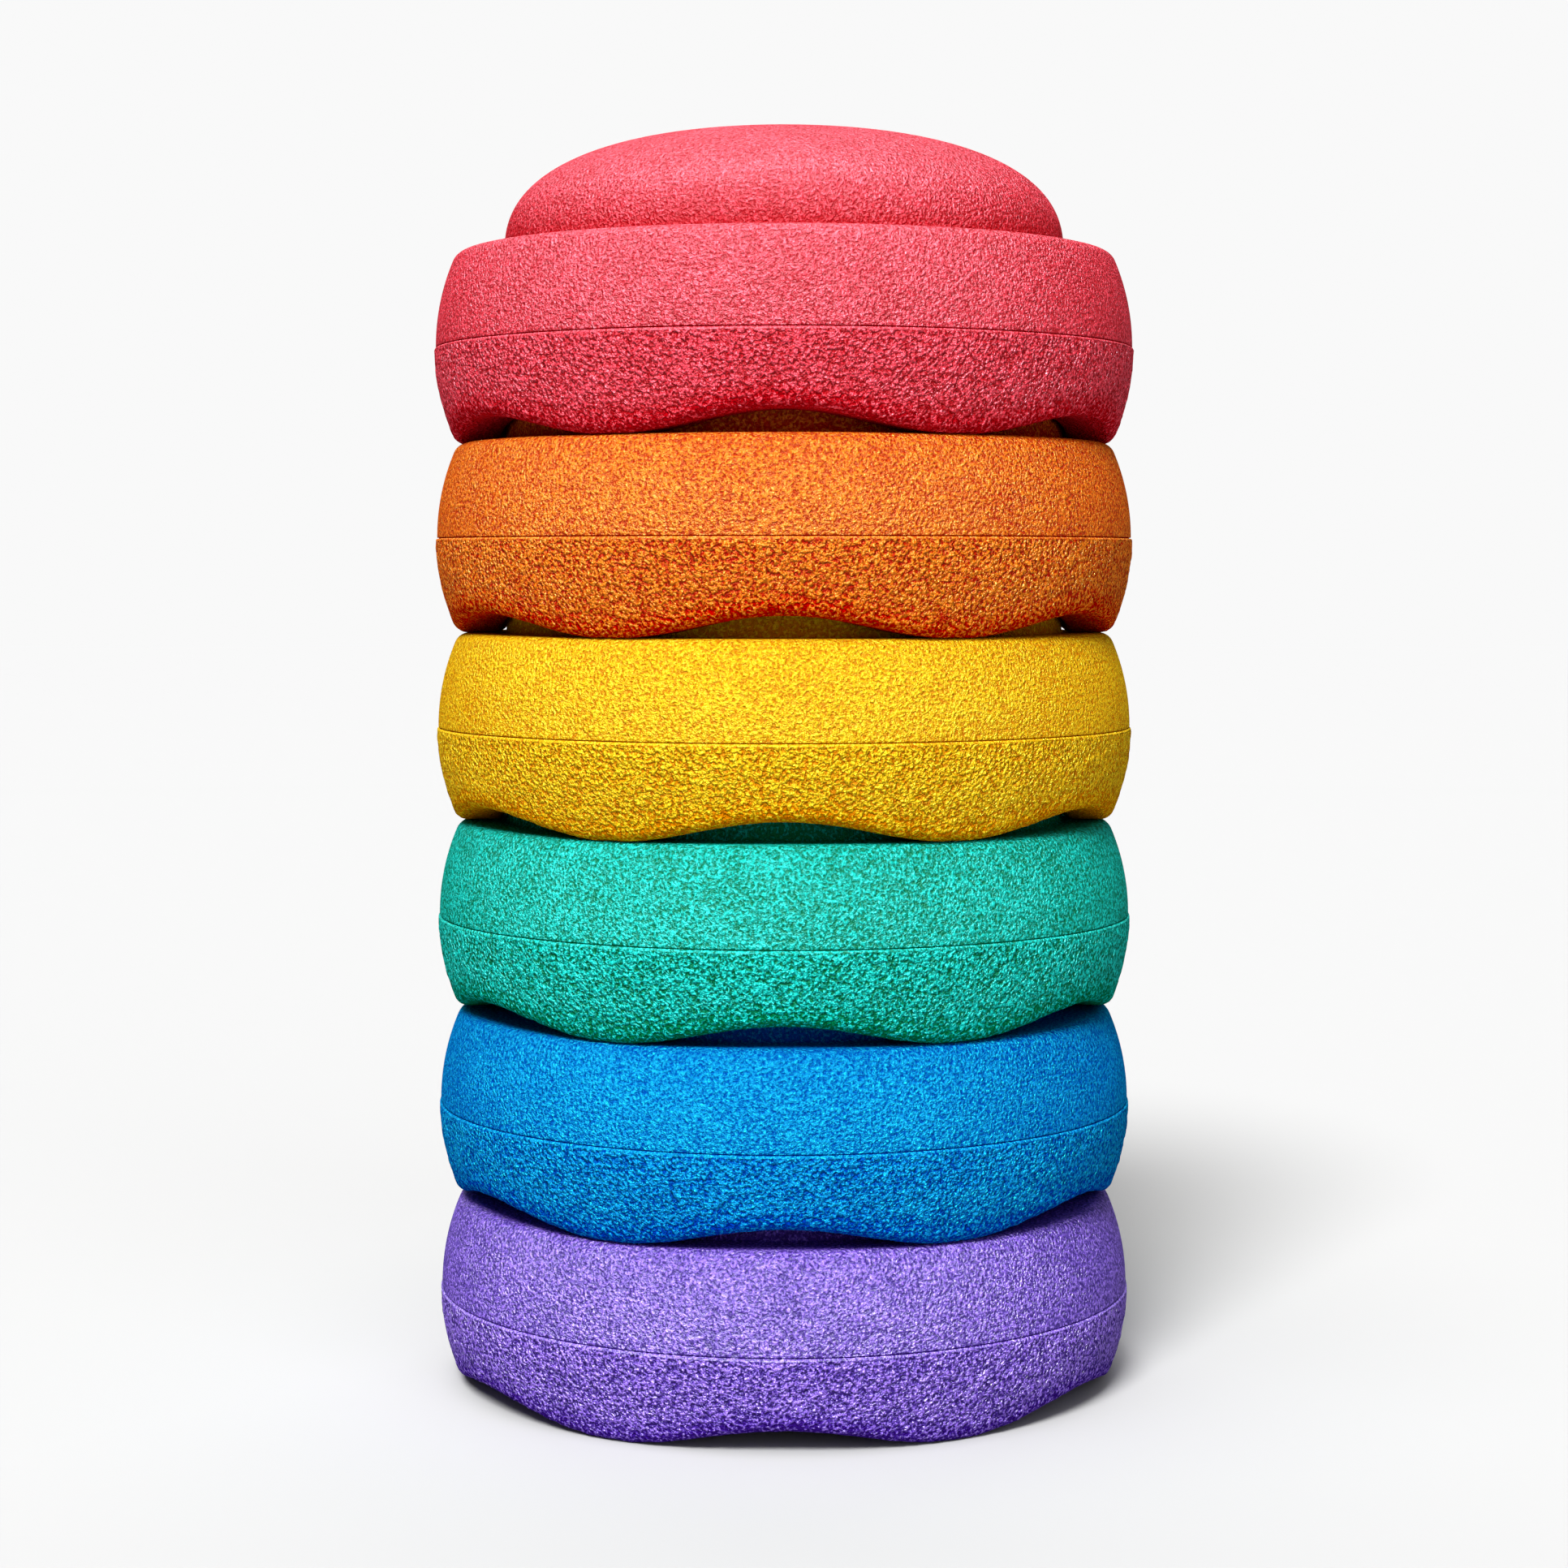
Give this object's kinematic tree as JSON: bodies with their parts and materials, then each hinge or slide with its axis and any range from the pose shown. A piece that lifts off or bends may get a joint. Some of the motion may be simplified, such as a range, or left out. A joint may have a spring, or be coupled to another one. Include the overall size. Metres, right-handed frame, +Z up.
{
  "type": "stacking stepping stones",
  "caption": "Stack of round foam stepping stones, each a hollow moulding with a low dome, a flat ledge, a bulging seamed band and a wavy footed rim that nests on the stone below.",
  "frame": {"origin": "centre of the plane that the lowest stone's six feet stand on", "axes": "+Z up along the stack's axis; -Y faces the viewer, at the middle of an arch between two feet"},
  "size_m": [0.275, 0.275, 0.4943],
  "materials": {
    "purple_foam": "moulded bead foam, fine leathery grain above the seam and coarse pebbled grain below it",
    "blue_foam": "moulded bead foam, fine leathery grain above the seam and coarse pebbled grain below it",
    "green_foam": "moulded bead foam, fine leathery grain above the seam and coarse pebbled grain below it",
    "yellow_foam": "moulded bead foam, fine leathery grain above the seam and coarse pebbled grain below it",
    "orange_foam": "moulded bead foam, fine leathery grain above the seam and coarse pebbled grain below it",
    "red_foam": "moulded bead foam, fine leathery grain above the seam and coarse pebbled grain below it"
  },
  "bodies": {
    "purple_stone": {"purple_stone": "purple_foam"},
    "blue_stone": {"blue_stone": "blue_foam"},
    "green_stone": {"green_stone": "green_foam"},
    "yellow_stone": {"yellow_stone": "yellow_foam"},
    "orange_stone": {"orange_stone": "orange_foam"},
    "red_stone": {"red_stone": "red_foam"}
  },
  "joints": [
    {"name": "blue_lift", "type": "slide", "parent": "purple_stone", "child": "blue_stone", "axis": [0, 0, 1], "range_m": [0, 0.06]},
    {"name": "green_lift", "type": "slide", "parent": "blue_stone", "child": "green_stone", "axis": [0, 0, 1], "range_m": [0, 0.06]},
    {"name": "yellow_lift", "type": "slide", "parent": "green_stone", "child": "yellow_stone", "axis": [0, 0, 1], "range_m": [0, 0.06]},
    {"name": "orange_lift", "type": "slide", "parent": "yellow_stone", "child": "orange_stone", "axis": [0, 0, 1], "range_m": [0, 0.06]},
    {"name": "red_lift", "type": "slide", "parent": "orange_stone", "child": "red_stone", "axis": [0, 0, 1], "range_m": [0, 0.06]}
  ]
}
